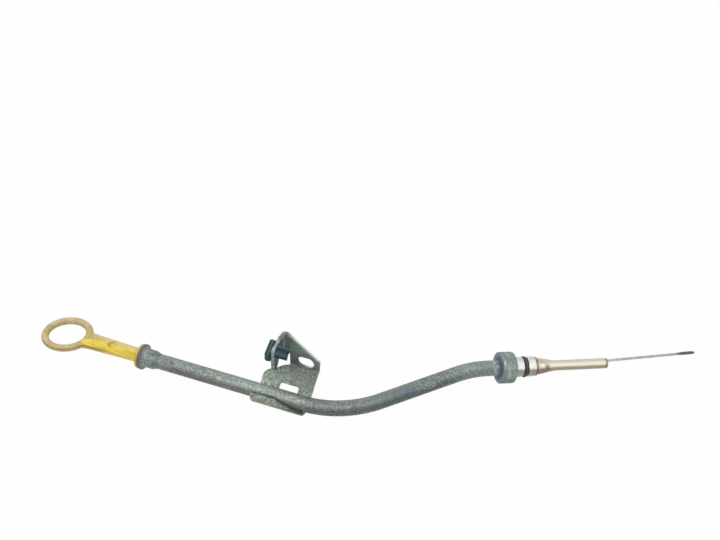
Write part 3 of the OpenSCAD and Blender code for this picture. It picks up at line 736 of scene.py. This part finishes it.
# Block seal: a moulded ring of rubber in the spigot's groove. It seals the tube in the engine block, and
# oil has darkened it.
oiled = Finish("oiled_rubber", metallic=0.0)
spot = oiled.place(lower_leg @ Vector((seal_place, 0, 0)))
grain = oiled.noise(spot, 0.7, detail=3, seed=1.0)
cloud = oiled.noise(spot, 3.0, detail=3, seed=2.0)
oiled.set("Base Color", oiled.mix(tint("2E3138"), tint("4A4D55"), oiled.step(cloud, 0.4, 0.65)))
oiled.set("Roughness", 0.38 + 0.2 * grain)
oiled.set("Normal", oiled.relief(grain, 0.06))
block_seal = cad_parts["block_seal"]
block_seal.data.materials.clear()
block_seal.data.materials.append(oiled.material)


# Lower tube: thin steel tube drawn down from a sleeve, with a rolled bead next to the spigot. Hot oil has
# tinted the bare steel golden.
lower_radius = 3.35 * mm
lower_wall = 0.7 * mm
bead = 0.8 * mm
bead_top = spigot_radius - 0.3 * mm
end_round = 0.6 * mm
taper_thin = (spigot_end + taper_length * 0.75) / mm
taper_thick = (spigot_end + taper_length * 0.45) / mm


def lower_outline():
    """Half section of the lower tube, outside first. Its taper swells a little before it narrows."""
    start = spigot_end
    line = [(start - sleeve_length, bore_radius), (start - sleeve_length, sleeve_radius - close_fit),
            (start, sleeve_radius - close_fit)]
    line += [(start + bead * (1 - math.cos(t)), bead_top - bead + bead * math.sin(t))
             for t in [math.pi * i / 12 for i in range(11)]]
    shoulder = bead_top - 0.7 * mm
    line += [(start + 2 * bead + (taper_length - 2 * bead) * i / 16,
              lower_radius + (shoulder - lower_radius) * (1 + math.cos(math.pi * (i / 16) ** 0.85)) / 2)
             for i in range(17)]
    line += [(start + taper_length + lower_length * i / 6, lower_radius) for i in range(1, 6)]
    line += [(tube_end - end_round * (1 - math.sin(t)), lower_radius - end_round * (1 - math.cos(t)))
             for t in [math.pi / 2 * i / 5 for i in range(6)]]
    line += [(tube_end, lower_radius - lower_wall), (start + taper_length, lower_radius - lower_wall),
             (start + taper_length * 0.54, bore_radius)]
    return line


lower_tube = turned("golden_lower_tube", lower_outline())

golden = Finish("oil_tinted_steel", metallic=0.9)
spot = golden.own("straight")
x, y, z = golden.split(spot)
cloud = golden.noise(golden.stretched(spot, (0.25, 1, 1)), 2.2, detail=4, rough=0.6, seed=2.0)
grain = golden.noise(spot, 0.9, detail=3, rough=0.7, seed=3.0)
on_taper = golden.step(x, taper_thin, taper_thick)
out = golden.length(y, z)
rise = (rise_up * z - rise_out * y) / out
# Painted reflection: a bright streak a little above the middle, a greyer top edge, and a dark lower half.
colour = golden.mix(tint("DCD4BE"), tint("F8F0DA"), golden.near(rise, 0.15, 0.5))
colour = golden.mix(colour, tint("BFC2AC"), 0.7 * golden.step(rise, 0.45, 0.9))
dark_reflection = golden.step(rise + 0.3 * (cloud - 0.5), -0.1, -0.45)
colour = golden.mix(colour, tint("84706A"), (0.66 + 0.24 * on_taper) * dark_reflection)
colour = golden.mix(colour, tint("64564F"), 0.8 * golden.near(x, spigot_end / mm + 0.3, 0.9))
colour = golden.mix(colour, tint("8A785E"), 0.5 * on_taper * golden.step(cloud, 0.4, 0.62))
spots = golden.near(x, 40.0, 2.6) * golden.near(rise, -0.15, 0.6)
colour = golden.mix(colour, tint("6A4E40"), 0.8 * spots * golden.step(grain, 0.4, 0.55))
shine = golden.near(x, 36.4, 2.6) * golden.near(rise, 0.15, 0.45)
colour = golden.mix(colour, tint("FFFBF2"), 0.9 * shine)
copper = golden.near(x, (spigot_end + bead) / mm, 1.0)
colour = golden.mix(colour, tint("87736C"), 0.7 * copper)
flecks = golden.step(grain, 0.6, 0.72) * (0.15 + 0.85 * on_taper)
colour = golden.mix(colour, tint("5E4F3E"), 0.5 * flecks)
burnt = golden.step(x, tube_end / mm - 2.6, tube_end / mm - 1.2)
colour = golden.mix(colour, tint("80756A"), 0.8 * burnt)
golden.set("Base Color", colour)
golden.set("Roughness", 0.2 + 0.15 * on_taper + 0.15 * (cloud - 0.5))
golden.set("Normal", golden.relief(grain * 0.5 + cloud * 0.5, 0.12))
lower_tube.data.materials.append(golden.material)
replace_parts(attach(lower_tube, "root"), "lower_tube")


# Bench and backdrop: one plain pale floor under a white sky. The camera sees the floor nearly white, with
# the part's soft shadow on it.
floor_shape = bmesh.new()
bmesh.ops.create_grid(floor_shape, x_segments=1, y_segments=1, size=6.0)
floor = finished_piece("floor", floor_shape)
pale = Finish("pale_floor", metallic=0.0)
pale.set("Base Color", tint("F4F4F2"))
pale.set("Roughness", 0.9)
ray = pale.node("LightPath", out="Is Camera Ray")
glossy = pale.node("LightPath", out="Is Glossy Ray")
seen = pale.node("Emission", {"Color": (1, 1, 1, 1), "Strength": 1.0})
lit = Value(pale, pale.shader.outputs[0])
shown = pale.node("MixShader", {0: 0.97 * ray + 0.5 * glossy, 1: lit, 2: seen})
pale.tree.links.new(shown.socket, pale.tree.nodes["Material Output"].inputs["Surface"])
floor.data.materials.append(pale.material)

world = bpy.data.worlds.new("studio")
scene.world = world
world.use_nodes = True
world_nodes = world.node_tree.nodes
world_links = world.node_tree.links
sky = world_nodes["Background"]
path = world_nodes.new("ShaderNodeLightPath")
either = world_nodes.new("ShaderNodeMath")
either.operation = "MAXIMUM"
world_links.new(path.outputs["Is Camera Ray"], either.inputs[0])
world_links.new(path.outputs["Is Glossy Ray"], either.inputs[1])
level = world_nodes.new("ShaderNodeMapRange")
level.inputs["To Min"].default_value = 0.5
level.inputs["To Max"].default_value = 1.0
world_links.new(either.outputs[0], level.inputs["Value"])
world_links.new(level.outputs[0], sky.inputs["Strength"])
sky.inputs["Color"].default_value = (1, 1, 1, 1)


# Studio lamps: one broad soft lamp above the camera, and a weaker one behind on the left.
def soft_lamp(name, place, size, power):
    """A broad lamp that faces the middle of the part."""
    lamp = bpy.data.lights.new(name, "AREA")
    lamp.shape = "RECTANGLE"
    lamp.size = size
    lamp.size_y = size * 0.6
    lamp.energy = power
    holder = bpy.data.objects.new(name, lamp)
    scene.collection.objects.link(holder)
    holder.location = place
    holder.rotation_euler = (-Vector(place)).to_track_quat("-Z", "Y").to_euler()


soft_lamp("key", (0.15, -0.9, 1.1), 0.9, 7.0)
soft_lamp("back", (-0.9, 0.7, 1.0), 0.7, 3.0)


# Camera: at the photograph's angle, looking down by 35.5 degrees and turned 24 degrees to the left.
view = bpy.data.cameras.new("camera")
view.sensor_width = 36.0
view.lens = 75.15
view.clip_start = 0.01
view.clip_end = 50.0
camera = bpy.data.objects.new("camera", view)
scene.collection.objects.link(camera)
camera.location = (0.314660, -0.713957, 0.623882)
camera.rotation_euler = (math.radians(54.5), 0.0, math.radians(23.9601))
scene.camera = camera
